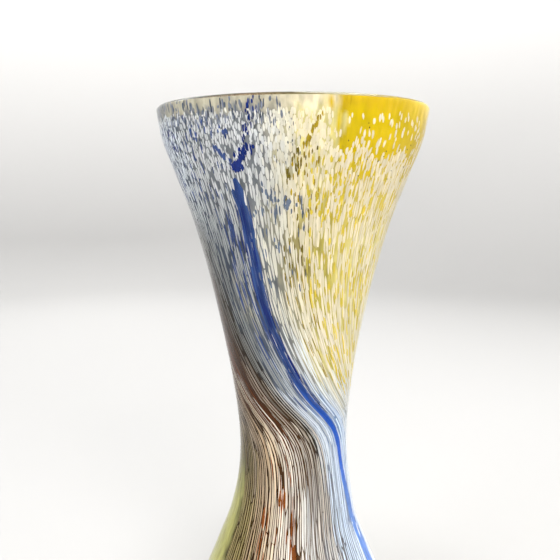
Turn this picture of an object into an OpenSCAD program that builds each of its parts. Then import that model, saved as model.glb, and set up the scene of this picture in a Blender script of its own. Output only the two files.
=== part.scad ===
// Hand-blown cased glass vase: a flared mouth, a twisted waist and a rounded lower bulb.
// A clear lining bubble carries a bed of enamel chips and coloured frit, all under a clear
// outer casing. The layers are fused face to face. Millimetres, +Z up, and the origin is the
// centre of the flat foot on the table.

/* [Outline] */
// Height from the table to the lip
height = 280; // [260:1:310]
// Outside diameter just below the lip
rim_d = 133.2; // [120:0.1:146]
// Outside diameter at the waist
waist_d = 56.2; // [50:0.1:66]
// Height of the waist
waist_z = 108; // [100:1:120]
// Outside diameter of the lower bulb
bulb_d = 103.6; // [94:0.1:116]
// Height of the widest part of the lower bulb
bulb_z = 14; // [11:0.5:16]
// Outside diameter of the flat foot
foot_d = 84; // [70:1:90]

/* [Glass layers] */
// Thickness of the clear outer casing
casing_t = 1.3; // [1:0.1:1.8]
// Thickness of the bed of chips and frit
bed_t = 0.8; // [0.7:0.05:1]
// Thickness of the clear lining
lining_t = 1.7; // [1.4:0.1:2.4]
// Thickness of the fire-polished lip
lip_t = 4.6; // [4.2:0.1:5]
// Height of the clear glass above the colours at the lip
clear_lip_h = 3; // [3:0.5:8]
// Clear glass under the colours at the centre of the base
base_t = 7; // [5:0.5:8]
// Clear glass over the colours at the centre of the base
floor_t = 4.2; // [3:0.1:5]
// Height at which the rounded bottom of the bed meets the wall
bowl_z = 19; // [17:0.5:22]

/* [Pontil mark] */
// Diameter of the ground and polished dimple under the foot
pontil_d = 34; // [24:1:40]
// Depth of the dimple
pontil_h = 3; // [2:0.1:4]

/* [Twist] */
// Angle by which the streaks turn from lip to foot
twist = 90; // [60:1:110]
// Height at the middle of the turn
twist_z = 140; // [130:1:155]
// Height over which the turn spreads
twist_spread = 15; // [13:0.5:20]
// How much slower the turn starts above its middle than it ends below it
twist_change = 5; // [0:0.5:6]

/* [Streaks] */
// Number of rows of enamel chips round the vase
rows = 16; // [16:1:16]
// Share of the bed's surface that the chips take
chip_share = 0.64; // [0.5:0.01:0.7]
// Width of a chip at its ends, as a share of its full width
chip_end = 0.75; // [0.6:0.01:0.9]
// Width of the few chips in the solid yellow, as a share of the others
yellow_chip = 0.4; // [0.3:0.05:0.7]
// Angle of the cobalt ribbon at the lip, from the front
ribbon_angle = -29; // [-40:1:-20]

/* [Hidden] */
$fn = 96;

waist_r = waist_d / 2;
rim_r = rim_d / 2;
bulb_r = bulb_d / 2;
foot_r = foot_d / 2;
pontil_r = pontil_d / 2;
lip_r = lip_t / 2;
lip_z = height - lip_r;
clear_z = height - clear_lip_h;
wall_t = casing_t + bed_t + lining_t;
pitch = 360 / rows;

// The wall's outline: [share of the way from the waist, share of the radius gained]
lower_shape = [[1, 1], [0.81, 0.857], [0.596, 0.519], [0.362, 0.19]];
upper_shape = [[0.224, 0.086], [0.483, 0.309], [0.684, 0.549], [0.825, 0.779], [0.919, 0.934], [1, 1]];
wall = concat(
    [for (s = lower_shape) [waist_z - s[0] * (waist_z - bulb_z), waist_r + s[1] * (bulb_r - waist_r)]],
    [[waist_z, waist_r]],
    [for (s = upper_shape) [waist_z + s[0] * (lip_z - waist_z), waist_r + s[1] * (rim_r - waist_r)]]
);
last = len(wall) - 1;

function slope(a, b) = (b[1] - a[1]) / (b[0] - a[0]);
function knot_slope(i) = i == 0 ? 0 : slope(wall[i - 1], wall[min(i + 1, last)]);
function span(z, i = 0) = i >= last - 1 || z < wall[i + 1][0] ? i : span(z, i + 1);
function hermite(p, q, mp, mq, u) =
    (2 * u * u * u - 3 * u * u + 1) * p[1] + (u * u * u - 2 * u * u + u) * (q[0] - p[0]) * mp
    + (3 * u * u - 2 * u * u * u) * q[1] + (u * u * u - u * u) * (q[0] - p[0]) * mq;

// Outside radius of the wall at height z, by a smooth curve through the outline's points
function wall_r(z) =
    let (h = max(z, bulb_z), i = span(h), p = wall[i], q = wall[i + 1])
    hermite(p, q, knot_slope(i), knot_slope(i + 1), (h - p[0]) / (q[0] - p[0]));

function steps(from, to, n) = [for (i = [1:n]) from + (to - from) * i / n];

// A layer's face, depth mm inside the outer skin: a rounded bottom from floor_z, then the wall
bowl_angles = [6, 24, 42, 60, 75, 90];
turn_low = waist_z - 5;
turn_high = twist_z + 38;
face_heights = concat(steps(bowl_z, turn_low, 8), steps(turn_low, turn_high, 15),
                      steps(turn_high, clear_z, 8));
function face(depth, floor_z) = concat(
    [for (a = bowl_angles)
        let (z = floor_z + (bowl_z - floor_z) * (1 - cos(a)))
        [(wall_r(z) - depth) * sin(a), z]],
    [for (z = face_heights) [wall_r(z) - depth, z]]
);

bed_outside = face(casing_t, base_t);
bed_inside = face(casing_t + bed_t, base_t + bed_t);
cavity = face(wall_t, base_t + bed_t + floor_t);
rings = len(bed_outside);
function reversed(list) = [for (i = [len(list) - 1:-1:0]) list[i]];

heel = [for (a = [0:10:90]) [foot_r + (bulb_r - foot_r) * sin(a), bulb_z * (1 - cos(a))]];
skin = [for (z = steps(bulb_z, lip_z, 60)) [wall_r(z), z]];
lip = [for (a = [10:10:180]) [rim_r - lip_r + lip_r * cos(a), lip_z + lip_r * sin(a)]];
dimple = [for (a = [0:15:90]) [pontil_r * sin(a), pontil_h * cos(a)]];

// Turn of the streaks at height z, in degrees
function tanh(x) = 1 - 2 / (exp(2 * x) + 1);
function spread(d) = twist_spread + twist_change * tanh(d / twist_spread);
function turn(z) = twist / (1 + exp((z - twist_z) / spread(z - twist_z)));

// Half of a chip's angular width in row k at ring i: narrow at its ends, staggered row by row
function in_yellow(k, i) = k >= 3 && k <= 5 && bed_outside[i][1] > 195;
function chip_half(k, i) =
    pitch * chip_share / 2 * ((i + 2 * (k % 2)) % 4 == 0 ? chip_end : 1)
    * (in_yellow(k, i) ? yellow_chip : 1);
function chip_left(k, i) = ribbon_angle + pitch * (k + 0.5) - chip_half(k, i);
function chip_right(k, i) = ribbon_angle + pitch * (k + 0.5) + chip_half(k, i);

// A point of the bed: side 0 is its outer face and side 1 its inner face, which is lifted by
// the sag of a chord so that the facets stay clear of the lining
chord_lift = 1 / cos(6);
function bed_point(i, side, a) =
    let (p = side == 0 ? bed_outside[i] : bed_inside[i])
    let (r = side == 0 ? p[0] : p[0] * chord_lift)
    let (b = a + turn(p[1]))
    [r * sin(b), -r * cos(b), p[1]];

// One streak of the bed from the base to the clear lip, between two angles at each ring
module streak(left, right, parts) {
    w = parts + 1;
    points = [for (i = [0:rings - 1]) for (side = [0, 1]) for (j = [0:parts])
        bed_point(i, side, left[i] + (right[i] - left[i]) * j / parts)];
    up = 2 * w;
    faces = concat(
        [for (i = [0:rings - 2]) for (j = [0:parts - 1])
            let (a = i * up + j)
            each [[a, a + up, a + up + 1], [a, a + up + 1, a + 1],
                  [a + w, a + w + up + 1, a + w + up], [a + w, a + w + 1, a + w + up + 1]]],
        [for (i = [0:rings - 2])
            let (a = i * up, b = i * up + parts)
            each [[a, a + w, a + w + up], [a, a + w + up, a + up],
                  [b, b + up, b + w + up], [b, b + w + up, b + w]]],
        [for (j = [0:parts - 1])
            let (a = j, b = (rings - 1) * up + j)
            each [[a, a + 1, a + w + 1], [a, a + w + 1, a + w],
                  [b, b + w, b + w + 1], [b, b + w + 1, b + 1]]]
    );
    polyhedron(points, faces, convexity = 6);
}

// The vein of frit k lies between the chip rows k - 1 and k
module vein(k) {
    before = (k + rows - 1) % rows;
    back = k == 0 ? 360 : 0;
    streak([for (i = [0:rings - 1]) chip_right(before, i) - back],
           [for (i = [0:rings - 1]) chip_left(k, i)], 2);
}

module outer_casing() {
    color([0.93, 0.95, 0.93, 0.35])
    rotate_extrude()
    polygon(concat(dimple, heel, skin, lip, [[wall_r(clear_z) - wall_t, clear_z]],
                   reversed(bed_outside), [[0, base_t]]));
}

module inner_lining() {
    color([0.95, 0.96, 0.95, 0.35])
    rotate_extrude()
    polygon(concat([[0, base_t + bed_t]], bed_inside, reversed(cavity),
                   [[0, base_t + bed_t + floor_t]]));
}

// The button stops just short of the chords at the rows' lower ends
button_share = 0.97;
function button_edge(side) = [side[0][0] * button_share, side[0][1]];

// The rows of opaque chips, and the button at the centre of the base where they meet
module white_enamel_chips() {
    color([0.93, 0.9, 0.82])
    union() {
        for (k = [0:rows - 1])
            streak([for (i = [0:rings - 1]) chip_left(k, i)],
                   [for (i = [0:rings - 1]) chip_right(k, i)], 2);
        rotate_extrude()
        polygon([[0, base_t], button_edge(bed_outside), button_edge(bed_inside), [0, base_t + bed_t]]);
    }
}

module veins(numbers) {
    for (k = numbers) vein(k);
}

module cobalt_ribbon() {
    color([0.09, 0.19, 0.62]) veins([0]);
}

module smoke_grey_frit() {
    color([0.56, 0.61, 0.66]) veins([1]);
}

module olive_frit() {
    color([0.5, 0.49, 0.25]) veins([2, 8, 9]);
}

module yellow_frit() {
    color([0.93, 0.8, 0.08]) veins([3, 4, 5]);
}

module lime_frit() {
    color([0.82, 0.82, 0.36]) veins([6, 7]);
}

module amber_frit() {
    color([0.66, 0.4, 0.18]) veins([10, 11]);
}

module umber_frit() {
    color([0.33, 0.26, 0.22]) veins([12]);
}

module slate_blue_frit() {
    color([0.33, 0.42, 0.6]) veins([13, 14, 15]);
}

outer_casing();
inner_lining();
white_enamel_chips();
cobalt_ribbon();
smoke_grey_frit();
olive_frit();
yellow_frit();
lime_frit();
amber_frit();
umber_frit();
slate_blue_frit();
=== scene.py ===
"""Looks of the hand-blown vase: cased glass with real enamel chips over coloured frit."""

import math

import bmesh
import bpy
import numpy as np
from mathutils import Matrix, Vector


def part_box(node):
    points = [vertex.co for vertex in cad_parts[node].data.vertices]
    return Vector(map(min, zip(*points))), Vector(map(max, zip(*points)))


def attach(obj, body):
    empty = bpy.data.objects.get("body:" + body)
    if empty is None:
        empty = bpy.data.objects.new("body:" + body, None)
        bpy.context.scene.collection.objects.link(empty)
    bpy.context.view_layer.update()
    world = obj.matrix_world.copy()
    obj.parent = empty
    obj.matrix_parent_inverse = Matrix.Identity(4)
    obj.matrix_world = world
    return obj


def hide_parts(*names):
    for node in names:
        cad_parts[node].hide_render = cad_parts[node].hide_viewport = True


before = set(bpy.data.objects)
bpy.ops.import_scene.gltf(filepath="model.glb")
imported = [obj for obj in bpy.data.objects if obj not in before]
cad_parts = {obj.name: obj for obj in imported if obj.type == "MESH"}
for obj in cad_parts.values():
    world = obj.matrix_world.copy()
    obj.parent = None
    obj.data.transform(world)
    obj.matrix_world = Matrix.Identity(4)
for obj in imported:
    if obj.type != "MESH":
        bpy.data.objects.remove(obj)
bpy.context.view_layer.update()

MM = 0.001
TAU = 2 * math.pi
rng = np.random.default_rng(28)

# ---------------- outline, as in the CAD model
casing_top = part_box("outer_casing")[1]
HEIGHT = casing_top.z
RIM_R = casing_top.x
CLEAR_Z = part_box("white_enamel_chips")[1].z
WAIST_R = 28.1 * MM
WAIST_Z = 108 * MM
BULB_R = 51.8 * MM
BULB_Z = 14 * MM
FOOT_R = 42 * MM
PONTIL_R = 17 * MM
PONTIL_H = 3 * MM
CASING_T = 1.3 * MM
BED_T = 0.8 * MM
LINING_T = 1.7 * MM
WALL_T = CASING_T + BED_T + LINING_T
LIP_R = 2.3 * MM
LIP_Z = HEIGHT - LIP_R
BASE_T = 7 * MM
FLOOR_T = 4.2 * MM
BOWL_Z = 19 * MM
BOWL_L = 58 * MM  # length of the bed's rounded bottom, from the wall to the axis
SEAM = 0.01 * MM  # keeps the faces of two fused layers from lying in one place

LOWER_SHAPE = ((1, 1), (0.81, 0.857), (0.596, 0.519), (0.362, 0.19))
UPPER_SHAPE = (
    (0.224, 0.086), (0.483, 0.309), (0.684, 0.549), (0.825, 0.779), (0.919, 0.934), (1, 1)
)
wall_knots = np.array(
    [(WAIST_Z - a * (WAIST_Z - BULB_Z), WAIST_R + b * (BULB_R - WAIST_R)) for a, b in LOWER_SHAPE]
    + [(WAIST_Z, WAIST_R)]
    + [(WAIST_Z + a * (LIP_Z - WAIST_Z), WAIST_R + b * (RIM_R - WAIST_R)) for a, b in UPPER_SHAPE]
)


def smooth_curve(knots, at, end_slope=None):
    """A smooth curve through knots, a row of (place, value), at the places asked for."""
    x, y = np.asarray(knots, float).T
    slope = np.gradient(y, x)
    slope[1:-1] = (y[2:] - y[:-2]) / (x[2:] - x[:-2])
    if end_slope is not None:
        slope[0] = end_slope
    at = np.clip(at, x[0], x[-1])
    i = np.clip(np.searchsorted(x, at, side="right") - 1, 0, len(x) - 2)
    h = x[i + 1] - x[i]
    u = (at - x[i]) / h
    return (
        (2 * u**3 - 3 * u**2 + 1) * y[i]
        + (u**3 - 2 * u**2 + u) * h * slope[i]
        + (3 * u**2 - 2 * u**3) * y[i + 1]
        + (u**3 - u**2) * h * slope[i + 1]
    )


def wall_r(z):
    """Outside radius of the wall at height z."""
    return smooth_curve(wall_knots, z, end_slope=0.0)


# How far the blown wall leans off its axis sideways, by height: the sway of hand work
SWAY = MM * np.array(
    [(0, 0), (30, -0.3), (62, -0.4), (90, 0.6), (135, 0), (170, -0.5), (240, -0.1), (275, 0)]
)
OUT_OF_ROUND = 0.0012  # the rim is a little oval
OVAL_TURN = 1.1  # twice the angle at which the oval is longest, in radians


def place(theta, z, r):
    """The point at angle theta from the front, height z and radius r, with the sway."""
    oval = 1 - OUT_OF_ROUND * (1 + np.cos(2 * theta + OVAL_TURN)) * (z / HEIGHT)
    x = r * oval * np.sin(theta) + smooth_curve(SWAY, z)
    return np.stack(np.broadcast_arrays(x, -r * oval * np.cos(theta), z), -1)


# ---------------- flow of the streaks
TWIST = math.radians(90)
TURN_Z = 140 * MM
TURN_MID = 15 * MM
TURN_CHANGE = 5 * MM


def turn(h):
    """Angle by which a streak has turned at height h, on its way down from the lip."""
    d = h - TURN_Z
    spread = TURN_MID + TURN_CHANGE * np.tanh(d / TURN_MID)
    return TWIST / (1 + np.exp(d / spread))


def bed_section(h, depth):
    """Radius and height of the bed at depth inside the skin. h is the height on the wall, and
    under the wall it is counted on along the rounded bottom."""
    along = np.clip((BOWL_Z - h) / BOWL_L, 0, 1)
    a = (1 - along) * math.pi / 2
    floor = BASE_T + (depth - CASING_T)
    bowl = floor + (BOWL_Z - floor) * (1 - np.cos(a))
    z = np.where(h < BOWL_Z, bowl, h)
    return (wall_r(z) - depth) * np.where(h < BOWL_Z, np.sin(a), 1.0), z


def bed_point(phi, h, depth):
    """A point of the bed on the streak that starts at angle phi at the lip."""
    r, z = bed_section(h, depth)
    return place(phi + turn(h), z, r)


BED_LOW = BOWL_Z - BOWL_L


# ---------------- noise and colours
NOISE_COLUMNS, NOISE_ROWS = 1024, 257
NOISE_SHIFT = 60  # keeps heights under the wall above zero in the noise tables
# One seed for each use of the noise. Each batch of frit adds its number to the first
BATCH_SEED, CLOUD_SEED, FINE_SEED = 40, 5, 6
RAGGED_SEED, WANDER_SEED, STREAK_SEED = 8, 9, 10
ROW_SEED, GAP_SEED, YELLOW_SEED = 21, 22, 23


def value_noise(seed, u, v, wrap):
    """Smooth noise from 0 to 1. u repeats after wrap cells."""
    table = np.random.default_rng(seed).random((NOISE_COLUMNS, NOISE_ROWS))
    iu, iv = np.floor(u).astype(int), np.floor(v).astype(int)
    fu, fv = u - iu, v - iv
    fu, fv = fu * fu * (3 - 2 * fu), fv * fv * (3 - 2 * fv)

    def corner(a, b):
        return table[np.mod(iu + a, wrap) % NOISE_COLUMNS, np.mod(iv + b, NOISE_ROWS)]

    low = corner(0, 0) * (1 - fu) + corner(1, 0) * fu
    high = corner(0, 1) * (1 - fu) + corner(1, 1) * fu
    return low * (1 - fv) + high * fv


def bed_noise(seed, phi, h, around, length, shift=NOISE_SHIFT):
    """Noise over the bed, with cells of so many to a turn and so many mm along the streaks."""
    return value_noise(seed, phi / TAU * around, h / (length * MM) + shift, around)


def line_noise(seed, h, length, shift=NOISE_SHIFT):
    """Noise along one line, with cells of so many mm."""
    return value_noise(seed, h * 0 + 0.5, h / (length * MM) + shift, 2)


def srgb(r, g, b):
    """Linear colour of an 8-bit display colour."""
    c = np.array([r, g, b]) / 255
    return np.where(c <= 0.04045, c / 12.92, ((c + 0.055) / 1.055) ** 2.4)


# Coloured glasses of the frit
INDIGO = srgb(96, 106, 142)
SLATE = srgb(84, 94, 112)
SMOKE = srgb(124, 127, 132)
GRAPHITE = srgb(84, 84, 84)
SOOT = srgb(48, 42, 34)
NIGHT = srgb(70, 78, 92)
LAVENDER = srgb(130, 136, 152)
KHAKI = srgb(156, 150, 122)
OLIVE = srgb(172, 158, 96)
YELLOW = srgb(202, 178, 4)
STRAW = srgb(220, 210, 146)
LIME = srgb(200, 187, 92)
PISTACHIO = srgb(176, 172, 100)
MOSS = srgb(56, 41, 12)
UMBER = srgb(46, 28, 12)
BROWN = srgb(76, 46, 20)
RUSSET = srgb(74, 38, 10)
TAUPE = srgb(124, 106, 90)
STEEL = srgb(114, 110, 113)
FLINT = srgb(122, 122, 118)
DUST = srgb(178, 172, 154)
OCHRE = srgb(196, 168, 22)
GOLD = srgb(222, 200, 72)
LEMON = srgb(224, 206, 96)
PERIWINKLE = srgb(152, 168, 198)
SKY = srgb(124, 156, 206)
# Glasses of the stray grains
DEEP_COBALT = srgb(24, 44, 116)
DUSK = srgb(66, 84, 136)
HAZE = srgb(112, 124, 146)
RUST = srgb(146, 80, 34)
SIENNA = srgb(108, 56, 22)
DARK_OLIVE = srgb(130, 114, 42)
OLIVE_GOLD = srgb(178, 152, 36)
SEED_BLACK = srgb(70, 60, 20)
# Glasses of the cobalt ribbon
RIBBON_DEEP = srgb(38, 60, 116)
RIBBON_BRIGHT = srgb(26, 84, 190)
RIBBON_PALE = srgb(112, 156, 218)
# Enamels of the chips
IVORY = srgb(236, 227, 204)
CREAM = srgb(232, 221, 192)
BISQUE = srgb(208, 198, 186)
CHALK = srgb(224, 220, 206)
PEARL = srgb(214, 215, 216)
ASH = srgb(172, 175, 177)
STONE = srgb(138, 137, 133)
PEWTER = srgb(146, 149, 149)
SAND = srgb(200, 174, 142)
OAT = srgb(232, 214, 188)
PORCELAIN = srgb(243, 235, 224)
MILK = srgb(238, 244, 250)
ICE = srgb(216, 230, 248)
REED = srgb(168, 152, 102)
DRIFT = srgb(174, 158, 140)
BARK = srgb(126, 106, 70)
COCOA = srgb(84, 56, 32)

# What lies along the streaks, by angle at the lip in degrees: the frit's colour, the enamel's
# colour and the share of its cell that a chip fills
RIM_BANDS = (
    (-180, MOSS, REED, 0.9),
    (-110, FLINT, STONE, 0.9),
    (-80, SMOKE, PEARL, 0.9),
    (-52, DUST, PEARL, 0.9),
    (-24, DUST, CHALK, 0.9),
    (-10, DUST, CHALK, 0.9),
    (8, CREAM, CREAM, 0.9),
    (12, CREAM, CREAM, 0.9),
    (15, OCHRE, CREAM, 0.9),
    (40, OCHRE, IVORY, 0.9),
    (70, GOLD, IVORY, 0.9),
    (140, LIME, IVORY, 0.9),
    (180, MOSS, REED, 0.9),
)
LIP_BANDS = (
    (-180, MOSS, REED, 0.9),
    (-150, BROWN, SAND, 0.9),
    (-110, GRAPHITE, STONE, 0.85),
    (-80, INDIGO, MILK, 0.85),
    (-60, SLATE, MILK, 0.83),
    (-48, SMOKE, PEARL, 0.9),
    (-34, SMOKE, PEARL, 0.9),
    (-16, SMOKE, PEARL, 0.92),
    (-6, DUST, CHALK, 0.98),
    (4, STRAW, CREAM, 0.98),
    (14, STRAW, IVORY, 0.98),
    (16, YELLOW, IVORY, 0.95),
    (100, YELLOW, IVORY, 0.95),
    (140, LIME, IVORY, 0.9),
    (180, MOSS, REED, 0.9),
)
FLARE_BANDS = (
    (-180, MOSS, REED, 0.85),
    (-150, BROWN, SAND, 0.85),
    (-110, SOOT, STONE, 0.6),
    (-72, SOOT, STONE, 0.67),
    (-54, NIGHT, PEWTER, 0.74),
    (-34, NIGHT, ASH, 0.75),
    (-20, SMOKE, CHALK, 0.85),
    (-8, KHAKI, CHALK, 0.9),
    (3, OLIVE, CREAM, 0.92),
    (14, LIME, IVORY, 0.92),
    (30, STRAW, IVORY, 0.9),
    (100, STRAW, IVORY, 0.9),
    (140, PISTACHIO, IVORY, 0.85),
    (180, MOSS, REED, 0.85),
)
MID_BANDS = (
    (-180, MOSS, REED, 0.8),
    (-150, BROWN, SAND, 0.8),
    (-110, UMBER, COCOA, 0.5),
    (-80, UMBER, COCOA, 0.42),
    (-64, SOOT, STONE, 0.5),
    (-52, NIGHT, PEWTER, 0.62),
    (-44, FLINT, DUST, 0.7),
    (-36, NIGHT, ASH, 0.72),
    (-18, SMOKE, CHALK, 0.85),
    (-6, KHAKI, IVORY, 0.9),
    (6, LIME, IVORY, 0.92),
    (18, LIME, IVORY, 0.92),
    (40, STRAW, IVORY, 0.92),
    (100, STRAW, IVORY, 0.9),
    (140, PISTACHIO, IVORY, 0.85),
    (180, MOSS, REED, 0.8),
)
CONE_BANDS = (
    (-180, MOSS, REED, 0.8),
    (-150, BROWN, SAND, 0.8),
    (-110, RUSSET, COCOA, 0.36),
    (-94, RUSSET, COCOA, 0.26),
    (-74, UMBER, COCOA, 0.4),
    (-62, SOOT, STONE, 0.5),
    (-48, SLATE, PEWTER, 0.7),
    (-34, SLATE, ASH, 0.75),
    (-24, SMOKE, PEARL, 0.8),
    (-13, DUST, MILK, 0.9),
    (-2, STRAW, IVORY, 0.9),
    (13, STRAW, PORCELAIN, 0.92),
    (40, STRAW, IVORY, 0.9),
    (100, STRAW, IVORY, 0.9),
    (140, PISTACHIO, IVORY, 0.85),
    (180, MOSS, REED, 0.8),
)
WAIST_BANDS = (
    (-180, MOSS, BARK, 0.5),
    (-150, MOSS, BARK, 0.48),
    (-132, UMBER, DRIFT, 0.4),
    (-115, UMBER, SAND, 0.47),
    (-102, BROWN, OAT, 0.58),
    (-92, BROWN, PORCELAIN, 0.58),
    (-82, BROWN, BISQUE, 0.47),
    (-70, BROWN, DRIFT, 0.5),
    (-58, SOOT, BISQUE, 0.42),
    (-51, LAVENDER, ICE, 0.8),
    (-43, PERIWINKLE, MILK, 0.88),
    (-22, SKY, ICE, 0.8),
    (-4, PERIWINKLE, MILK, 0.9),
    (16, DUST, MILK, 0.9),
    (50, STRAW, IVORY, 0.9),
    (120, PISTACHIO, IVORY, 0.85),
    (150, PISTACHIO, REED, 0.8),
    (180, MOSS, BARK, 0.55),
)
BULB_BANDS = (
    (-180, PISTACHIO, REED, 0.4),
    (-176, PISTACHIO, REED, 0.1),
    (-156, PISTACHIO, REED, 0.1),
    (-147, MOSS, REED, 0.5),
    (-136, MOSS, REED, 0.48),
    (-124, UMBER, SAND, 0.46),
    (-110, BROWN, OAT, 0.72),
    (-98, BROWN, PORCELAIN, 0.74),
    (-86, BROWN, PORCELAIN, 0.76),
    (-74, TAUPE, PEARL, 0.74),
    (-60, STEEL, BISQUE, 0.56),
    (-47, STEEL, ICE, 0.55),
    (-34, LAVENDER, ICE, 0.62),
    (-8, SKY, MILK, 0.85),
    (20, PERIWINKLE, MILK, 0.9),
    (50, STRAW, IVORY, 0.9),
    (120, PISTACHIO, IVORY, 0.85),
    (168, PISTACHIO, REED, 0.8),
    (180, PISTACHIO, REED, 0.4),
)
BAND_LEVELS = (
    (75 * MM, BULB_BANDS),
    (120 * MM, WAIST_BANDS),
    (160 * MM, CONE_BANDS),
    (186 * MM, MID_BANDS),
    (208 * MM, FLARE_BANDS),
    (256 * MM, LIP_BANDS),
    (270 * MM, LIP_BANDS),
    (276 * MM, RIM_BANDS),
)
FRIT, ENAMEL, COVER = 1, 2, 3  # places in a row of the bands


def wrapped(phi):
    """phi brought to the half turn on each side of the front."""
    return (phi + math.pi) % TAU - math.pi


def blended(bands, phi, which):
    """One column of the bands at angle phi."""
    angle = [math.radians(b[0]) for b in bands]
    stops = np.array([np.atleast_1d(b[which]) for b in bands])
    return np.stack([np.interp(wrapped(phi), angle, stop) for stop in stops.T], -1)


def along_streaks(phi, h, which):
    """Colour of the FRIT or the ENAMEL, or the share that chips COVER, at a place of the bed."""
    value = blended(BAND_LEVELS[0][1], phi, which)
    for (low_h, _), (high_h, bands) in zip(BAND_LEVELS, BAND_LEVELS[1:]):
        share = np.clip((h - low_h) / (high_h - low_h), 0, 1)[..., None]
        share = share * share * (3 - 2 * share)
        value = value + share * (blended(bands, phi, which) - value)
    return value


# ---------------- meshes
def build_mesh(name, points, faces, smooth=True):
    """A mesh object from an array of points and a list of face arrays, each (count, corners)."""
    mesh = bpy.data.meshes.new(name)
    corners = np.concatenate([f.ravel() for f in faces])
    sizes = np.concatenate([np.full(len(f), f.shape[1]) for f in faces])
    mesh.vertices.add(len(points))
    mesh.vertices.foreach_set("co", np.asarray(points, np.float32).ravel())
    mesh.loops.add(len(corners))
    mesh.loops.foreach_set("vertex_index", corners.astype(np.int32))
    mesh.polygons.add(len(sizes))
    starts = np.concatenate([[0], np.cumsum(sizes)[:-1]])
    mesh.polygons.foreach_set("loop_start", starts.astype(np.int32))
    mesh.polygons.foreach_set("use_smooth", np.full(len(sizes), smooth))
    mesh.update(calc_edges=True)
    mesh.validate()
    obj = bpy.data.objects.new(name, mesh)
    bpy.context.scene.collection.objects.link(obj)
    return obj


def paint(obj, name, colours):
    """Stores a colour for each point of obj, for its material to read."""
    layer = obj.data.color_attributes.new(name, "FLOAT_COLOR", "POINT")
    rgba = np.ones((len(colours), 4), np.float32)
    rgba[:, :3] = colours
    layer.data.foreach_set("color", rgba.ravel())


def flow_coordinates(obj, phi, h):
    """Stores how far round and along the streaks each point lies, in metres, for streaky noise."""
    layer = obj.data.attributes.new("flow", "FLOAT_VECTOR", "POINT")
    values = np.stack([np.cos(phi) * WAIST_R, np.sin(phi) * WAIST_R, h], -1)
    layer.data.foreach_set("vector", values.astype(np.float32).ravel())


def dress(obj, slot, materials, *nodes):
    """Gives a finished piece its materials and its body, and hides the CAD nodes it stands for.
    slot is not used.
    """
    for material in materials:
        obj.data.materials.append(material)
    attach(obj, "root")
    if nodes:
        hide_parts(*nodes)
    return obj


ROUND = 216  # columns of a turned skin
SKIN_SHARP = math.radians(35)  # edges sharper than this stay sharp on a turned skin


def ring_faces(rows, columns):
    """Faces between rows of points, each of which closes round the axis."""
    i, j = np.meshgrid(np.arange(rows - 1), np.arange(columns), indexing="ij")
    across = (j + 1) % columns
    low, high = i * columns, (i + 1) * columns
    return np.stack([low + j, low + across, high + across, high + j], -1).reshape(-1, 4)


def turned(name, sections):
    """Turns joined outlines round the axis, from one pole to the other. sections is a list of
    (points (radius, height), material)."""
    outline = np.concatenate([points for points, _ in sections])
    theta = np.arange(ROUND) * TAU / ROUND
    points = place(theta[None, :], outline[:, 1, None], outline[:, 0, None]).reshape(-1, 3)
    obj = build_mesh(name, points, [ring_faces(len(outline), ROUND)])
    slots = np.concatenate([np.full(len(part), slot) for part, slot in sections])[:-1]
    obj.data.polygons.foreach_set("material_index", np.repeat(slots, ROUND).astype(np.int32))
    return obj


def weld(obj):
    """Joins the points that meet at a pole and drops the faces that this leaves without area."""
    bm = bmesh.new()
    bm.from_mesh(obj.data)
    bmesh.ops.remove_doubles(bm, verts=bm.verts, dist=0.5 * SEAM)
    bmesh.ops.dissolve_degenerate(bm, dist=0.1 * SEAM, edges=bm.edges)
    bmesh.ops.recalc_face_normals(bm, faces=bm.faces)
    bm.to_mesh(obj.data)
    bm.free()
    obj.data.set_sharp_from_angle(angle=SKIN_SHARP)


# ---------------- materials
def new_material(name):
    """An empty material, with its nodes and its links."""
    material = bpy.data.materials.new(name)
    material.use_nodes = True
    material.node_tree.nodes.clear()
    return material, material.node_tree.nodes, material.node_tree.links


GLASS_IOR = 1.28  # low for glass, to hold back the reflections of the pale studio
RIPPLE = 0.05  # how far the skin's hand-worked ripple tips the reflections


def skin_glass(name, colour, ripple_scale):
    """Smooth blown glass. Lamps reach what it holds through a clear stand-in for their rays."""
    material, nodes, links = new_material(name)
    glass = nodes.new("ShaderNodeBsdfGlass")
    glass.inputs["Color"].default_value = (*colour, 1)
    glass.inputs["Roughness"].default_value = 0.0
    glass.inputs["IOR"].default_value = GLASS_IOR
    clear = nodes.new("ShaderNodeBsdfTransparent")
    clear.inputs["Color"].default_value = (*colour, 1)
    light_path = nodes.new("ShaderNodeLightPath")
    mix = nodes.new("ShaderNodeMixShader")
    output = nodes.new("ShaderNodeOutputMaterial")
    place_node = nodes.new("ShaderNodeTexCoord")
    noise = nodes.new("ShaderNodeTexNoise")
    noise.inputs["Scale"].default_value = ripple_scale
    noise.inputs["Detail"].default_value = 1.5
    bump = nodes.new("ShaderNodeBump")
    bump.inputs["Strength"].default_value = RIPPLE
    bump.inputs["Distance"].default_value = MM
    links.new(place_node.outputs["Object"], noise.inputs["Vector"])
    links.new(noise.outputs["Fac"], bump.inputs["Height"])
    links.new(bump.outputs["Normal"], glass.inputs["Normal"])
    links.new(light_path.outputs["Is Shadow Ray"], mix.inputs["Fac"])
    links.new(glass.outputs["BSDF"], mix.inputs[1])
    links.new(clear.outputs["BSDF"], mix.inputs[2])
    links.new(mix.outputs["Shader"], output.inputs["Surface"])
    return material


def fused_face():
    """The face where two clear layers are fused: light goes straight on."""
    material, nodes, links = new_material("fused_face")
    clear = nodes.new("ShaderNodeBsdfTransparent")
    output = nodes.new("ShaderNodeOutputMaterial")
    links.new(clear.outputs["BSDF"], output.inputs["Surface"])
    return material


STREAK_SCALE = 900.0  # cells of the streaky noise in a metre
STRETCH = 0.16  # the share of that which it has along the streaks


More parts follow.
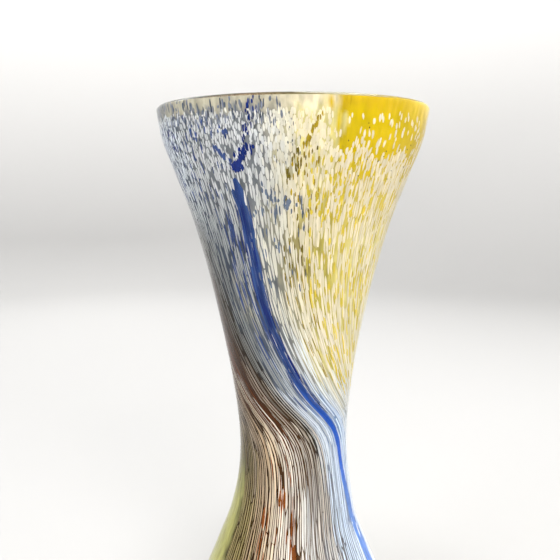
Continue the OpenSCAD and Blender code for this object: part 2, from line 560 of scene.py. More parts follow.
def cast_glass(name, glow, streak, grain):
    """Coloured or opaque glass in the bed, with streaks that follow the flow. glow is the share
    of the light that shines through, and streak and grain are how far the noise darkens and
    lightens the colour."""
    material, nodes, links = new_material(name)
    tint = nodes.new("ShaderNodeAttribute")
    tint.attribute_name = "tint"
    flow = nodes.new("ShaderNodeAttribute")
    flow.attribute_name = "flow"
    scale = nodes.new("ShaderNodeVectorMath")
    scale.operation = "MULTIPLY"
    scale.inputs[1].default_value = (1, 1, STRETCH)
    noise = nodes.new("ShaderNodeTexNoise")
    noise.inputs["Scale"].default_value = STREAK_SCALE
    noise.inputs["Detail"].default_value = 3
    ramp = nodes.new("ShaderNodeMapRange")
    ramp.inputs["From Min"].default_value = 0.3
    ramp.inputs["From Max"].default_value = 0.7
    ramp.inputs["To Min"].default_value = 1 - streak
    ramp.inputs["To Max"].default_value = 1 + grain
    shade = nodes.new("ShaderNodeVectorMath")
    shade.operation = "SCALE"
    diffuse = nodes.new("ShaderNodeBsdfDiffuse")
    shine = nodes.new("ShaderNodeBsdfTranslucent")
    mix = nodes.new("ShaderNodeMixShader")
    mix.inputs["Fac"].default_value = glow
    output = nodes.new("ShaderNodeOutputMaterial")
    links.new(flow.outputs["Vector"], scale.inputs[0])
    links.new(scale.outputs["Vector"], noise.inputs["Vector"])
    links.new(noise.outputs["Fac"], ramp.inputs["Value"])
    links.new(tint.outputs["Color"], shade.inputs[0])
    links.new(ramp.outputs["Result"], shade.inputs["Scale"])
    links.new(shade.outputs["Vector"], diffuse.inputs["Color"])
    links.new(shade.outputs["Vector"], shine.inputs["Color"])
    links.new(diffuse.outputs["BSDF"], mix.inputs[1])
    links.new(shine.outputs["BSDF"], mix.inputs[2])
    links.new(mix.outputs["Shader"], output.inputs["Surface"])
    return material


# ---------------- clear glass: casing and lining
FACE_ROWS = 150  # rows of a layer's face up the wall
BOWL_ROWS = 40  # and round the bottom
CLEAR_TINT = (0.985, 0.99, 0.98)
SEEDS = 26
SEED_HEIGHTS = (60, 262)  # mm
SEED_RADII = (0.09, 0.2)  # mm
BIG_SEED = (math.radians(-24.6), 208, 0.24)  # one in plain view: angle, height in mm, radius in mm


def arc(count, low, high, centre, radii):
    """Points of an ellipse, from one angle to another in degrees."""
    a = np.radians(np.linspace(low, high, count))
    return np.stack([centre[0] + radii[0] * np.cos(a), centre[1] + radii[1] * np.sin(a)], -1)


def face_outline(depth, floor, top):
    """The outline of a layer's face, from the lip down to the axis."""
    z = np.linspace(top, BOWL_Z, FACE_ROWS)
    a = np.linspace(math.pi / 2, 0, BOWL_ROWS)[1:]
    bowl_z = floor + (BOWL_Z - floor) * (1 - np.cos(a))
    r = np.concatenate([wall_r(z) - depth, (wall_r(bowl_z) - depth) * np.sin(a)])
    return np.stack([r, np.concatenate([z, bowl_z])], -1)


def add_seeds(casing):
    """Tiny upright bubbles of air, shut in the casing."""
    bm = bmesh.new()
    bm.from_mesh(casing.data)
    phi = np.append(rng.uniform(0, TAU, SEEDS), BIG_SEED[0])
    h = np.append(rng.uniform(*SEED_HEIGHTS, SEEDS), BIG_SEED[1]) * MM
    radius = np.append(rng.uniform(*SEED_RADII, SEEDS), BIG_SEED[2]) * MM
    for point, size in zip(bed_point(phi, h, 0.5 * CASING_T), radius):
        drawn = Matrix.Translation(point) @ Matrix.Diagonal((1, 1, rng.uniform(1.3, 2.2), 1))
        made = bmesh.ops.create_icosphere(bm, subdivisions=2, radius=size, matrix=drawn)
        faces = list({face for vert in made["verts"] for face in vert.link_faces})
        bmesh.ops.reverse_faces(bm, faces=faces)
        for face in faces:
            face.smooth = True
    bm.to_mesh(casing.data)
    bm.free()


def make_casing(glass, fused):
    """The outer gather with the lip, the foot and the pontil dimple. Its inner face is fused."""
    dimple = arc(12, 90, 0, (0, 0), (PONTIL_R, PONTIL_H))
    foot = np.stack([np.linspace(PONTIL_R, FOOT_R, 14)[1:-1], np.zeros(12)], -1)
    heel = arc(16, -90, 0, (FOOT_R, BULB_Z), (BULB_R - FOOT_R, BULB_Z))
    skin_z = np.linspace(BULB_Z, LIP_Z, 190)[1:]
    skin = np.stack([wall_r(skin_z), skin_z], -1)
    lip = arc(28, 0, 180, (RIM_R - LIP_R, LIP_Z), (LIP_R, LIP_R))[1:]
    inner_lip = np.array([(wall_r(np.float64(CLEAR_Z)) - WALL_T, CLEAR_Z + SEAM)])
    bed = face_outline(CASING_T, BASE_T, CLEAR_Z + SEAM)
    outside = np.concatenate([dimple, foot, heel, skin, lip])
    casing = turned("outer_casing_glass", [(outside, 0), (inner_lip, 1), (bed, 1)])
    weld(casing)
    add_seeds(casing)
    return dress(casing, "clear_casing_glass", [glass, fused], "outer_casing")


def make_lining(glass, fused):
    """The inner gather, which is the wall of the cavity. Its outer face is fused."""
    floor = BASE_T + BED_T
    outside = face_outline(CASING_T + BED_T, floor, CLEAR_Z)[::-1]
    cavity = face_outline(WALL_T, floor + FLOOR_T, CLEAR_Z)
    lining = turned("inner_lining_glass", [(outside, 1), (cavity, 0)])
    weld(lining)
    return dress(lining, "clear_lining_glass", [glass, fused], "inner_lining")


# ---------------- frit film
frit_materials = {}


def frit_material(slot):
    """The one material of all the frit in a slot. Yellow is the most even of them."""
    if slot not in frit_materials:
        streak = 0.06 if slot == "yellow_glass" else 0.3
        frit_materials[slot] = cast_glass(slot + "_frit", 0.35, streak, 0.08)
    return frit_materials[slot]


FILM_OUT = 1.62 * MM
FILM_IN = 1.80 * MM
FILM_TOP = HEIGHT - 1.3 * MM
FILM_LOW = BED_LOW + 3 * MM
FILM_ROWS = 300
FILM_COLUMN = 1.5  # degrees
EDGE_WANDER = math.radians(7)  # how far the edge of a batch wanders
# Two noises, as (cells to a turn, length of a cell in mm)
CLOUD_CELLS, FINE_CELLS = (90, 9), (240, 5)
# How far each shakes the places where colours are read, round the vase in radians and up it
CLOUD_SHAKE, FINE_SHAKE, FINE_LIFT = 0.15, 0.12, 10 * MM
CLOUD_SHADE, FINE_SHADE = 0.14, 0.16  # and how far it shades the colours
STRIP_SHARP = math.radians(50)  # edges sharper than this stay sharp on a strip
# Each batch of frit: (piece, CAD node, slot, the angle where it starts, in degrees from the front)
BATCHES = (
    ("slate_blue_frit_bed", "slate_blue_frit", "slate_blue_glass", -92),
    ("smoke_grey_frit_bed", "smoke_grey_frit", "smoke_grey_glass", -28),
    ("olive_frit_bed", None, "olive_glass", 2),
    ("yellow_frit_bed", "yellow_frit", "yellow_glass", 20),
    ("lime_frit_bed", "lime_frit", "lime_glass", 104),
    ("olive_back_frit_bed", "olive_frit", "olive_glass", 160),
    ("amber_frit_bed", "amber_frit", "amber_glass", 202),
    ("umber_frit_bed", "umber_frit", "umber_glass", 240),
)


def batch_edge(number, h):
    """The wandering edge where one batch of frit starts."""
    start = math.radians(BATCHES[number % len(BATCHES)][3] + 360 * (number // len(BATCHES)))
    seed = BATCH_SEED + number % len(BATCHES)
    return start + EDGE_WANDER * (line_noise(seed, h, 14, shift=3) - 0.5)


def strip(name, left, right, h, columns, outer, inner):
    """A thin closed sheet of glass in the bed between two streaks, from depth outer to depth
    inner. Returns the object with the angle and the height of each of its points."""
    share = np.linspace(0, 1, columns + 1)
    phi = left[:, None] + (right - left)[:, None] * share
    hh = np.broadcast_to(h[:, None], phi.shape)
    top = bed_point(phi, hh, outer).reshape(-1, 3)
    bottom = bed_point(phi, hh, inner).reshape(-1, 3)
    rows, cols = phi.shape
    i, j = np.meshgrid(np.arange(rows - 1), np.arange(cols - 1), indexing="ij")
    a = (i * cols + j).ravel()
    quads = np.stack([a, a + cols, a + cols + 1, a + 1], -1)
    n = rows * cols
    under = quads[:, ::-1] + n
    down, along = np.arange(0, n - cols, cols), n - cols + np.arange(cols - 1)
    back_up, back = np.arange(n - 1, cols - 1, -cols), np.arange(cols - 1, 0, -1)
    rim = np.concatenate([down, along, back_up, back])
    following = np.roll(rim, -1)
    walls = np.stack([rim, rim + n, following + n, following], -1)
    obj = build_mesh(name, np.concatenate([top, bottom]), [quads, under, walls])
    obj.data.set_sharp_from_angle(angle=STRIP_SHARP)
    return obj, np.tile(phi.ravel(), 2), np.tile(hh.ravel(), 2)


def make_frit():
    """The batches of coloured frit, side by side round the bed."""
    h = np.linspace(FILM_TOP, FILM_LOW, FILM_ROWS)
    for number, (name, node, slot, _) in enumerate(BATCHES):
        left, right = batch_edge(number, h), batch_edge(number + 1, h)
        columns = max(8, int(np.degrees(np.mean(right - left)) / FILM_COLUMN))
        bed, phi, hh = strip(name, left, right, h, columns, FILM_OUT, FILM_IN)
        cloud = bed_noise(CLOUD_SEED, phi, hh, *CLOUD_CELLS) - 0.5
        fine = bed_noise(FINE_SEED, phi, hh, *FINE_CELLS) - 0.5
        shaken = phi + CLOUD_SHAKE * cloud + FINE_SHAKE * fine
        colour = along_streaks(shaken, hh + FINE_LIFT * fine, FRIT)
        colour = colour * (1 + CLOUD_SHADE * cloud + FINE_SHADE * fine)[:, None]
        paint(bed, "tint", colour)
        flow_coordinates(bed, phi, hh)
        dress(bed, slot, [frit_material(slot)], *([node] if node else []))


# ---------------- cobalt ribbon
# Where the trail of cobalt lies: height in mm, angle at the lip in degrees, width in degrees
RIBBON = np.array(
    [
        (-30, -12, 9),
        (45, -13, 11),
        (62, -14.5, 12),
        (80, -21, 10.5),
        (98, -27.5, 7.5),
        (115, -29.5, 6.5),
        (130, -30, 7.5),
        (142, -29.5, 7),
        (155, -29.8, 6.5),
        (170, -28.6, 6.2),
        (190, -28.2, 6.6),
        (210, -26.6, 6.5),
        (228, -27, 6.5),
        (242, -27.8, 6),
        (251, -27.5, 4.5),
    ]
)
RIBBON_TOP = 246 * MM
RIBBON_TIP = 5 * MM
RIBBON_LOW = BED_LOW + 6 * MM
RIBBON_ROWS, RIBBON_COLUMNS = 520, 8
RIBBON_OUT = 1.42 * MM
RIBBON_IN = 1.6 * MM
RIBBON_WANDER = math.radians(1.6)
# On its way down it turns bright and then pale, each from a height and over a height
BRIGHT_FROM, BRIGHT_OVER = 152 * MM, 26 * MM
PALE_FROM, PALE_OVER = 105 * MM, 25 * MM
PALE_BODY, PALE_EDGE = 0.6, 0.25  # how pale it gets, all over and at its edges


def ribbon_centre(h):
    """Angle of the ribbon's middle at the lip, for height h."""
    return np.radians(smooth_curve(RIBBON[:, :2], h / MM))


def ribbon_width(h):
    """Angle that the ragged ribbon spans at height h. It closes at its upper tip."""
    ragged = 0.8 + 0.4 * line_noise(RAGGED_SEED, h, 6)
    tip = np.clip((RIBBON_TOP - h) / RIBBON_TIP, 0, 1) ** 0.6
    return np.radians(smooth_curve(RIBBON[:, [0, 2]], h / MM)) * (ragged * tip + 0.02)


def make_ribbon(material):
    """The trail of cobalt, brighter toward its middle and paler where it ends on the bulb."""
    h = np.linspace(RIBBON_TOP, RIBBON_LOW, RIBBON_ROWS)
    wander = RIBBON_WANDER * (line_noise(WANDER_SEED, h, 7) - 0.5)
    centre, half = ribbon_centre(h) + wander, ribbon_width(h) / 2
    left, right = centre - half, centre + half
    ribbon, phi, hh = strip(
        "cobalt_ribbon_trail", left, right, h, RIBBON_COLUMNS, RIBBON_OUT, RIBBON_IN
    )

    def each_point(value):
        return np.tile(np.repeat(value, RIBBON_COLUMNS + 1), 2)

    across = (phi - each_point(centre)) / each_point(half)
    streaks = bed_noise(STREAK_SEED, phi, hh, 420, 16, shift=0)
    bright = np.clip((BRIGHT_FROM - hh) / BRIGHT_OVER, 0, 1)[:, None]
    pale = np.clip((PALE_FROM - hh) / PALE_OVER, 0, 1)[:, None]
    colour = RIBBON_DEEP + bright * (RIBBON_BRIGHT - RIBBON_DEEP)
    colour = colour + pale * PALE_BODY * (RIBBON_PALE - colour)
    edge = np.clip(np.abs(across) * 1.3 - 0.5, 0, 1)[:, None]
    colour = colour * (0.75 + 0.5 * streaks[:, None]) + edge * PALE_EDGE * (RIBBON_PALE - colour)
    paint(ribbon, "tint", colour)
    flow_coordinates(ribbon, phi, hh)
    dress(ribbon, "cobalt_glass", [material], "cobalt_ribbon")


# ---------------- enamel chips
CHIP_OUT = 1.38 * MM
CHIP_IN = 2.04 * MM
CHIP_UNEVEN = 0.14 * MM
# Size of the chips by height on the bed: height, length along the streak, width round it, all in mm
CHIP_SIZE = np.array(
    [
        (-40, 4, 2.0),
        (0, 6, 1.9),
        (20, 9, 1.7),
        (50, 16, 1.5),
        (70, 22, 1.4),
        (95, 30, 1.25),
        (120, 34, 1.15),
        (145, 28, 1.1),
        (170, 18, 1.2),
        (195, 15, 1.35),
        (215, 11, 1.4),
        (235, 8, 1.4),
        (250, 4.6, 1.35),
        (262, 3.2, 1.25),
        (275, 2.2, 1.15),
    ]
)
CHIP_TOP = CLEAR_Z - 2.4 * MM
CHIP_LOW = BED_LOW + 2.5 * MM
TABLE_ROWS = 4000


def chip_rows():
    """Heights of the rows of chips from the lip down, as a fine table of height by row number."""
    h = np.linspace(CHIP_TOP, CHIP_LOW, TABLE_ROWS)
    length = np.interp(h / MM, CHIP_SIZE[:, 0], CHIP_SIZE[:, 1]) * MM
    r, z = bed_section(h, CHIP_OUT)
    path = np.concatenate([[0], np.cumsum(np.hypot(np.diff(r), np.diff(z)) / length[1:])])
    return h, path


SPARE_ROWS = 4  # rows beyond each end, so that the last chips have neighbours to shape them
LEAST_CHIPS = 6  # in a row
STRAY_ROUND, STRAY_ALONG = 0.45, 0.55  # how far a chip's centre strays, in cells
ROW_WAVES, ROW_WANDER = 28, 3.4  # waves of a row to a turn, and their height in rows


def chip_seeds(h_table, path):
    """Centres of the chips, row by row, as (angle, place in the table). The rows wander up and
    down so that none of them shows."""
    rows = []
    for row in range(-SPARE_ROWS, int(path[-1]) + SPARE_ROWS):
        h = np.interp(row + 0.5, path, h_table)
        width = np.interp(h / MM, CHIP_SIZE[:, 0], CHIP_SIZE[:, 2]) * MM
        r = bed_section(h, CHIP_OUT)[0]
        count = max(LEAST_CHIPS, int(round(TAU * r / width)))
        stray = rng.uniform(-STRAY_ROUND, STRAY_ROUND, count)
        phi = (np.arange(count) + 0.5 * (row % 2) + stray) * TAU / count
        phi = np.sort(phi % TAU)
        waves = value_noise(ROW_SEED, phi / TAU * ROW_WAVES, phi * 0 + 0.5, ROW_WAVES)
        stray = rng.uniform(-STRAY_ALONG, STRAY_ALONG, count)
        rows.append((phi, row + 0.5 + stray + ROW_WANDER * (waves - 0.5)))
    return rows


FULL_REACH = 1.6  # a cell's longest reach, in cells


def cell_reach(rows, number, angles):
    """How far each cell of a row reaches each way before it meets a neighbour's, in cells."""
    phi, b = rows[number]
    count = len(phi)
    reach = np.full((count, len(angles)), FULL_REACH)
    ways = np.stack([np.cos(angles), np.sin(angles)])
    for other in range(max(0, number - 3), min(len(rows), number + 4)):
        other_phi, other_b = rows[other]
        nearest = np.searchsorted(other_phi, phi)
        for step in range(-4, 5):
            k = (nearest + step) % len(other_phi)
            dx = wrapped(other_phi[k] - phi) * count / TAU
            dy = -(other_b[k] - b)
            half = (dx * dx + dy * dy) / 2
            toward = dx[:, None] * ways[0] + dy[:, None] * ways[1]
            met = (toward > 1e-6) & (half[:, None] > 1e-9)
            edge = half[:, None] / np.where(met, toward, 1)
            reach = np.where(met, np.minimum(reach, edge), reach)
    return reach


def chip_template(stations):
    """Faces of one closed chip: two tips and pairs of points between them, above and below."""
    n = 2 + 2 * stations
    top_tris = [(0, 2, 1), (n - 1, n - 3, n - 2)]
    top_quads = [(1 + 2 * s, 2 + 2 * s, 4 + 2 * s, 3 + 2 * s) for s in range(stations - 1)]
    right = [2 + 2 * s for s in range(stations)]
    left = [1 + 2 * s for s in reversed(range(stations))]
    loop = [0] + right + [n - 1] + left
    tris = [top_tris[0], top_tris[1]] + [tuple(n + v for v in reversed(t)) for t in top_tris]
    quads = top_quads + [tuple(n + v for v in reversed(q)) for q in top_quads]
    quads += [(a, a + n, b + n, b) for a, b in zip(loop, loop[1:] + loop[:1])]
    return np.array(tris), np.array(quads), 2 * n


def station_angles(stations):
    """Directions from a chip's middle to its corners, in the order of the template."""
    side = np.radians(np.linspace(-90, 90, stations + 2)[1:-1])
    pairs = np.stack([math.pi - side, side], -1).ravel()
    return np.concatenate([[-math.pi / 2], pairs, [math.pi / 2]])


def chip_mesh(name, phi, h, outer, inner, tint, stations):
    """One mesh of many chips. phi and h are (chips, corners), and outer and tint have a value
    for each chip."""
    tris, quads, per_chip = chip_template(stations)
    top = bed_point(phi, h, outer[:, None])
    bottom = bed_point(phi, h, inner)
    points = np.concatenate([top, bottom], 1).reshape(-1, 3)
    starts = (np.arange(len(phi)) * per_chip)[:, None, None]
    faces = [(starts + tris).reshape(-1, 3), (starts + quads).reshape(-1, 4)]
    chips = build_mesh(name, points, faces, smooth=False)
    paint(chips, "tint", np.clip(np.repeat(tint, per_chip, 0), 0, 1))
    flow_coordinates(chips, np.tile(phi, 2).ravel(), np.tile(h, 2).ravel())
    return chips


# The solid yellow patch under the lip, in degrees and mm. Its lower edge dips past YELLOW_BEND
YELLOW_LEFT, YELLOW_BEND, YELLOW_RIGHT = 15, 50, 125
YELLOW_LOW, YELLOW_DIP = 254, 6
YELLOW_WANDER = 14


def yellow_share(phi, h):
    """How much of the bed is solid yellow frit."""
    angle = np.degrees(wrapped(phi))
    edge = YELLOW_WANDER * (bed_noise(YELLOW_SEED, phi, h, 50, 6) - 0.5)
    low = YELLOW_LOW - YELLOW_DIP * np.clip((angle - YELLOW_BEND) / 10, 0, 1)
    high = np.clip((h / MM - low + 0.5 * edge) / 5, 0, 1)
    inside = np.clip((angle + edge - YELLOW_LEFT) / 4, 0, 1)
    return inside * np.clip((YELLOW_RIGHT - angle) / 30, 0, 1) * high


GAPS_FROM = 150 * MM  # above this height some chips are missing
GAP_LEVEL = 0.94  # noise above this makes a thin place
KEPT, KEPT_IN_GAP, KEPT_ON_RIBBON = 0.97, 0.3, 0.1  # share of the chips that are there


def chip_keep(phi, h):
    """How likely a chip is to be there, and how much of its cell it fills."""
    yellow = yellow_share(phi, h)
    gap = bed_noise(GAP_SEED, phi, h, 130, 5)
    chance = np.where(gap > GAP_LEVEL, KEPT_IN_GAP, KEPT)
    chance = np.where(h < GAPS_FROM, 1.0, chance)
    scarce = 0.74 + 0.1 * np.clip((h - 258 * MM) / (12 * MM), 0, 1)
    chance = chance * (1 - scarce * yellow) * np.clip((CHIP_TOP - h) / (4 * MM) + 0.4, 0, 1)
    near = np.abs(wrapped(phi - ribbon_centre(h))) / (ribbon_width(h) / 2)
    chance = np.where(near < 0.8, KEPT_ON_RIBBON, chance)
    return chance, 1 - 0.1 * yellow


STRAND_TOP = 175 * MM  # chips start to draw out into strands here
STRAND_SPREAD = 40 * MM  # and are all strands this far below
BLUNT = 0.64  # how far the corners of a chip that is no strand reach, in cells
BARE = 0.3  # where chips would cover less than this, there are none
LEAST_REACH = 0.1  # cells
DENSE_FROM, DENSE_OVER, DENSE_GAIN = 0.9, 0.06, 0.22  # chips grow where they cover nearly all
# How one chip differs from the next, as ranges or spreads of what is drawn for each
SIZE_RANGE, COVER_RANGE, SHADE_RANGE = (0.78, 1.06), (0.7, 1.12), (0.9, 1.05)
TILT_SPREAD, COLOUR_SPREAD = 0.16, 0.05
STRAND_SHADE = 0.12  # how much more strands differ in shade
STAIN, STRAND_STAIN = 0.25, 0.1  # most that the frit stains a chip, and how much more a strand


def make_chips(name, rows, numbers, stations, tables, material, node):
    """The chips of the rows numbered, as one piece."""
    h_table, path = tables
    angles = station_angles(stations)
    parts = []
    for number in numbers:
        phi, b = rows[number]
        count = len(phi)
        reach = cell_reach(rows, number, angles)
        h = np.interp(b, path, h_table)
        chance, fill = chip_keep(phi, h)
        slim = np.clip((STRAND_TOP - h) / STRAND_SPREAD, 0, 1)
        cover = along_streaks(phi, h, COVER)
        dense = np.clip((cover[:, 0] - DENSE_FROM) / DENSE_OVER, 0, 1) * (1 - slim)
        size = (fill + DENSE_GAIN * dense) * rng.uniform(*SIZE_RANGE, count)
        corner = np.where(slim > 0.5, 1.0, BLUNT)
        reach = np.maximum(np.minimum(reach, corner[:, None]) * size[:, None], LEAST_REACH)
        cover = cover * rng.uniform(*COVER_RANGE, count)[:, None]
        tilt = rng.normal(0, TILT_SPREAD, count)[:, None] * (1 - slim[:, None])
        y = reach * np.sin(angles)
        x = reach * np.cos(angles) * cover + tilt * y
        corner_phi = phi[:, None] + x * TAU / count
        corner_b = b[:, None] - y
        inside = (corner_b.min(1) > 0) & (b < path[-1])
        there = (rng.random(count) < chance) & inside & (cover[:, 0] > BARE)
        corner_h = np.interp(np.minimum(corner_b, path[-1]), path, h_table)
        enamel = along_streaks(phi + rng.normal(0, COLOUR_SPREAD, count), h, ENAMEL)
        frit = along_streaks(phi, h, FRIT)
        stained = rng.random(count) ** 2 * (STAIN + STRAND_STAIN * slim)
        shade = rng.uniform(*SHADE_RANGE, count)
        shade = shade + slim * rng.uniform(-STRAND_SHADE, STRAND_SHADE, count)
        tint = (enamel + stained[:, None] * (frit - enamel)) * shade[:, None]
        parts.append((corner_phi[there], corner_h[there], tint[there]))
    phi, h, tint = [np.concatenate(v) for v in zip(*parts)]
    outer = CHIP_OUT + CHIP_UNEVEN * rng.random(len(phi))
    chips = chip_mesh(name, phi, h, outer, CHIP_IN, tint, stations)
    return dress(chips, "white_enamel", [material], *([node] if node else []))


# ---------------- stray grains
GRAIN_OUT = 1.33 * MM
GRAIN_IN = 1.75 * MM
GRAIN_UNEVEN = 0.04 * MM
GRAIN_STATIONS = 3


def scatter(count, angles, heights, length, width, colour):
    """Grains strewn between two angles (degrees) and two heights (mm). Length and width are
    ranges in mm."""
    phi = rng.uniform(*angles, count)
    z = rng.uniform(*heights, count)
    return phi, z, rng.uniform(*length, count), rng.uniform(*width, count), colour


def trail(count, points, spread, length, width, colour):
    """Grains strewn along a line through points, each (angle, height)."""
    angle, z = np.array(points, float).T
    at = rng.uniform(0, len(points) - 1, count)
    phi = np.interp(at, np.arange(len(points)), angle) + rng.normal(0, spread, count)
    z = np.interp(at, np.arange(len(points)), z) + rng.normal(0, spread * 0.6, count)
    return phi, z, rng.uniform(*length, count), rng.uniform(*width, count), colour


def make_grains(name, slot, material, batches):
    """Stray grains of coloured glass on top of the chips."""
    angles = station_angles(GRAIN_STATIONS)
    parts = []
    for phi, z, length, width, colour in batches:
        phi, h = np.radians(phi), z * MM
        rough = rng.uniform(0.6, 1.15, (len(phi), len(angles))) / 2
        r = bed_section(h, GRAIN_OUT)[0]
        corner_phi = phi[:, None] + MM * width[:, None] * rough * np.cos(angles) / r[:, None]
        corner_h = h[:, None] - MM * length[:, None] * rough * np.sin(angles)
        tint = np.asarray(colour) * rng.uniform(0.75, 1.15, len(phi))[:, None]
        parts.append((corner_phi, np.minimum(corner_h, FILM_TOP), tint))
    phi, h, tint = [np.concatenate(v) for v in zip(*parts)]
    outer = GRAIN_OUT + GRAIN_UNEVEN * rng.random(len(phi))
    grains = chip_mesh(name, phi, h, outer, GRAIN_IN, tint, GRAIN_STATIONS)
    return dress(grains, slot, [material])


# ---------------- make everything
casing_glass = skin_glass("casing_glass", CLEAR_TINT, 60)
lining_glass = skin_glass("lining_glass", CLEAR_TINT, 45)
fused = fused_face()
make_casing(casing_glass, fused)
make_lining(lining_glass, fused)
make_frit()
cobalt = cast_glass("cobalt_glass_trail", 0.3, 0.25, 0.15)
make_ribbon(cobalt)
tables = chip_rows()
h_table, path = tables
rows = chip_seeds(h_table, path)
row_height = np.interp(np.arange(len(rows)) - SPARE_ROWS + 0.5, path, h_table)
enamel = cast_glass("white_enamel_glass", 0.3, 0.1, 0.05)
# The chips' pieces: (piece, lowest and highest row in mm, stations of a chip, CAD node)
CHIP_PIECES = (
    ("enamel_chips_lip", 246, math.inf, 3, "white_enamel_chips"),
    ("enamel_chips_flare", 172, 246, 4, None),
    ("enamel_chips_waist", 40, 172, 9, None),
    ("enamel_chips_bulb", -math.inf, 40, 5, None),
)
for name, low, high, stations, node in CHIP_PIECES:
    numbers = [k for k, h in enumerate(row_height) if low * MM < h <= high * MM]
    make_chips(name, rows, numbers, stations, tables, enamel, node)

make_grains(
    "cobalt_grains",
    "cobalt_glass",
    cobalt,
    (
        trail(
            26, ((-16.5, 278), (-17.5, 269), (-20.5, 261)), 1.0, (1.5, 3.5), (0.5, 1.0), DEEP_COBALT
        ),
        trail(34, ((-20, 259), (-22, 256), (-24.5, 252)), 1.4, (1.5, 3.5), (0.7, 1.5), DEEP_COBALT),
        trail(26, ((-27, 251), (-23.5, 250)), 1.2, (2.0, 4.5), (1.0, 2.2), DEEP_COBALT),
        trail(22, ((-28, 252), (-34.5, 259)), 0.6, (2.0, 3.5), (0.8, 1.5), DUSK),
        scatter(14, (-64, -58), (258, 268), (1.5, 3.5), (0.7, 1.5), DEEP_COBALT),
        scatter(10, (-46, -42), (262, 268), (1.5, 3.0), (0.7, 1.3), DUSK),
        scatter(8, (-31, -27), (263, 268), (1.5, 3.0), (0.7, 1.3), DUSK),
        scatter(70, (-84, -32), (236, 272), (3, 6), (0.4, 0.8), DUSK),
        scatter(24, (-90, -64), (225, 268), (3, 6), (0.5, 0.9), DEEP_COBALT),
        scatter(28, (-33, -24.5), (150, 236), (8, 18), (0.4, 0.8), DEEP_COBALT),
        scatter(64, (-46, -22), (136, 232), (8, 18), (0.4, 0.9), DUSK),
    ),
)
make_grains(
    "smoke_grains",
    "smoke_grey_glass",
    frit_material("smoke_grey_glass"),
    (
        scatter(90, (-80, -2), (268, 278.6), (1.5, 5.0), (0.4, 1.3), LAVENDER),
        scatter(50, (-70, -10), (270, 278.6), (1.5, 5.0), (0.4, 0.8), SLATE),
        scatter(110, (-70, 4), (250, 273), (1.0, 2.2), (0.3, 0.7), SMOKE),
        trail(12, ((-4.5, 237), (-4, 234)), 1.2, (2, 4), (0.8, 1.5), HAZE),
        trail(12, ((-14, 241), (-10, 236)), 1.5, (2, 4), (0.7, 1.4), HAZE),
        scatter(40, (-26, 4), (196, 240), (2.5, 6), (0.5, 1.1), HAZE),
    ),
)
make_grains(
    "olive_grains",
    "olive_glass",
    frit_material("olive_glass"),
    (
        trail(12, ((10, 272), (8, 268), (6, 264)), 0.35, (2, 4), (0.7, 1.3), OLIVE_GOLD),
        trail(12, ((5.5, 263), (4.5, 260), (1, 257)), 0.5, (2, 3.5), (0.7, 1.4), OLIVE_GOLD),
        trail(12, ((1, 257), (-3, 252), (-4, 244)), 0.4, (2, 4.5), (0.6, 1.2), DARK_OLIVE),
        trail(
            12, ((9, 259), (3, 254), (1, 249), (0.5, 243)), 0.5, (2, 4.5), (0.5, 1.0), DARK_OLIVE
        ),
        scatter(24, (-2, 12), (232, 256), (2, 4), (0.5, 1.1), OLIVE_GOLD),
        scatter(26, (-8, 8), (205, 240), (2.5, 6), (0.4, 0.9), DARK_OLIVE),
        scatter(22, (-12, 10), (150, 205), (6, 12), (0.3, 0.7), OLIVE_GOLD),
        scatter(14, (20, 66), (242, 272), (0.5, 0.9), (0.4, 0.8), SEED_BLACK),
        scatter(60, (150, 200), (60, 270), (3, 9), (0.6, 1.2), DARK_OLIVE),
    ),
)
make_grains(
    "yellow_grains",
    "yellow_glass",
    frit_material("yellow_glass"),
    (
        scatter(60, (6, 30), (228, 254), (2, 4.5), (0.7, 1.5), GOLD),
        scatter(110, (5, 66), (190, 250), (3, 6.5), (0.5, 1.2), GOLD),
        scatter(70, (4, 74), (136, 200), (4, 10), (0.6, 1.3), GOLD),
        scatter(90, (4, 74), (136, 215), (5, 12), (0.6, 1.3), LEMON),
        scatter(160, (66, 130), (120, 250), (4, 9), (0.7, 1.5), GOLD),
    ),
)
make_grains(
    "amber_grains",
    "amber_glass",
    frit_material("amber_glass"),
    (
        trail(8, ((-102, 94), (-101, 84)), 1.4, (6, 12), (0.5, 1.3), RUST),
        trail(8, ((-119.7, 82), (-119.7, 76)), 0.9, (5, 10), (0.6, 1.3), RUST),
        trail(8, ((-92, 80), (-89, 60)), 1.7, (6, 14), (0.5, 1.1), RUST),
        scatter(18, (-122, -88), (44, 112), (8, 18), (0.25, 0.7), RUST),
        scatter(22, (-104, -82), (118, 165), (12, 24), (0.3, 0.8), SIENNA),
    ),
)

# ---------------- stage, lights and camera
COVE_R = 1.9
COVE_TURN = 0.7
COVE_H = 2.4
COVE_SIDES = 96
FLOOR_TONE, WALL_TONE = 0.42, 0.86
PAPER = (1, 0.99, 0.975)


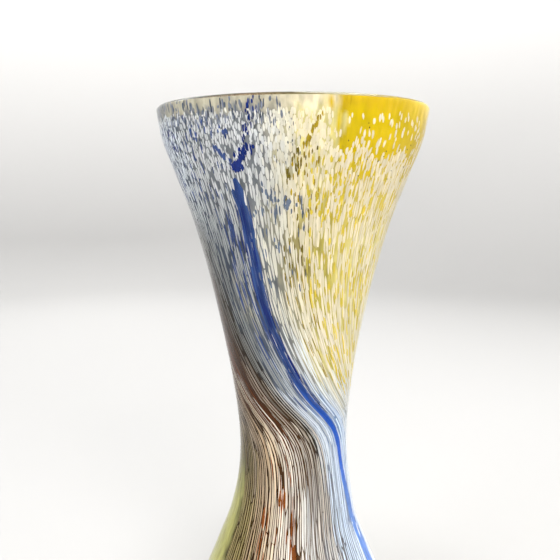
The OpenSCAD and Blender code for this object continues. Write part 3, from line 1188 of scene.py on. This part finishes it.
def make_stage():
    """A round pale floor that sweeps up into a paler wall all round."""
    bend = np.radians(np.linspace(-90, 0, 20))
    r = np.append(COVE_R - COVE_TURN + COVE_TURN * np.cos(bend), COVE_R)
    z = np.append(COVE_TURN + COVE_TURN * np.sin(bend), COVE_H)
    theta = np.arange(COVE_SIDES) * TAU / COVE_SIDES
    ring = np.stack([np.sin(theta), np.cos(theta)], -1)
    points = np.concatenate(
        [np.column_stack([a * ring, np.full(COVE_SIDES, b)]) for a, b in zip(r, z)]
    )
    floor = np.arange(COVE_SIDES)[None, ::-1]
    stage = build_mesh("stage_cove", points, [floor, ring_faces(len(r), COVE_SIDES)])
    tone = FLOOR_TONE + (WALL_TONE - FLOOR_TONE) * np.clip(points[:, 2] / COVE_TURN, 0, 1)
    paint(stage, "tint", tone[:, None] * np.array(PAPER))
    material, nodes, links = new_material("stage_paper")
    tint = nodes.new("ShaderNodeAttribute")
    tint.attribute_name = "tint"
    paper = nodes.new("ShaderNodeBsdfDiffuse")
    output = nodes.new("ShaderNodeOutputMaterial")
    links.new(tint.outputs["Color"], paper.inputs["Color"])
    links.new(paper.outputs["BSDF"], output.inputs["Surface"])
    stage.data.materials.append(material)


def disk_light(name, size, power):
    """A round area light that the camera doesn't see."""
    light = bpy.data.lights.new(name, "AREA")
    light.shape, light.size, light.energy = "DISK", size, power
    obj = bpy.data.objects.new(name, light)
    obj.visible_camera = False
    bpy.context.scene.collection.objects.link(obj)
    return obj


def softbox(name, place_at, aim, size, power, colour=(1, 1, 1), shines=False):
    """A studio light at one point, aimed at another. shines says if the glass mirrors it."""
    obj = disk_light(name, size, power)
    obj.data.color = colour
    obj.visible_glossy = shines
    back = np.array(place_at, float) - np.array(aim, float)
    back /= np.linalg.norm(back)
    side = np.cross((0, 0, 1), back)
    side /= np.linalg.norm(side)
    up = np.cross(back, side)
    obj.matrix_world = Matrix(
        [[side[k], up[k], back[k], place_at[k]] for k in range(3)] + [[0, 0, 0, 1]]
    )


def base_light():
    """Stands in for the light that a clear foot gathers and throws up on the coloured bed."""
    obj = disk_light("base_light", 1.8 * FOOT_R, BASE_LIGHT)
    obj.location = (0, 0, 0.5 * PONTIL_H)
    obj.rotation_euler = (math.pi, 0, 0)
    obj.visible_glossy = False
    obj.visible_transmission = False


def make_world(colour, strength):
    """Even light from all round, under the lamps."""
    world = bpy.data.worlds.new("soft_room")
    world.use_nodes = True
    background = world.node_tree.nodes["Background"]
    background.inputs["Color"].default_value = (*colour, 1)
    background.inputs["Strength"].default_value = strength
    bpy.context.scene.world = world


EYE = np.array([-6.39, -350, 243.4]) * MM
PITCH, ROLL = math.radians(8.0), math.radians(-0.167)
LENS = 44.29286  # mm, on a sensor 36 mm wide


def make_camera():
    """The eye a little under the lip and left of the axis, looking slightly down."""
    forward = np.array([0, math.cos(PITCH), -math.sin(PITCH)])
    up = np.array([0, math.sin(PITCH), math.cos(PITCH)])
    right = np.array([1.0, 0, 0])
    right, up = (
        right * math.cos(ROLL) + up * math.sin(ROLL),
        up * math.cos(ROLL) - right * math.sin(ROLL),
    )
    data = bpy.data.cameras.new("camera")
    data.sensor_width = 36
    data.lens = LENS
    data.clip_start = 0.01
    camera = bpy.data.objects.new("camera", data)
    bpy.context.scene.collection.objects.link(camera)
    camera.matrix_world = Matrix(
        [[right[k], up[k], -forward[k], EYE[k]] for k in range(3)] + [[0, 0, 0, 1]]
    )
    bpy.context.scene.camera = camera


WALL_LIGHT = 8
BASE_LIGHT = 0.014
make_stage()
make_world((0.93, 0.96, 1.0), 0.3)
middle = (0, 0, 0.16)
softbox("key_light", (0.45, -1.05, 0.85), middle, 0.8, 13.5, (1.0, 0.98, 0.95))
softbox("fill_light", (-1.1, -0.7, 0.6), middle, 1.0, 12, (0.95, 0.97, 1.0))
softbox("top_light", (0.25, 0.35, 1.1), (0, 0, 0.2), 0.5, 7, shines=True)
softbox("side_light", (1.1, 0.2, 0.5), middle, 0.6, 3)
softbox("rear_light", (-0.4, 1.1, 0.8), middle, 0.8, 8)
base_light()
for number in range(4):
    angle = (number + 0.5) * TAU / 4
    way = np.array([math.cos(angle), math.sin(angle)])
    softbox(f"wall_light_{number}", (*(0.3 * way), 1.5), (*(COVE_R * way), 0.55), 0.6, WALL_LIGHT)
make_camera()
bpy.context.scene.view_settings.view_transform = "Standard"
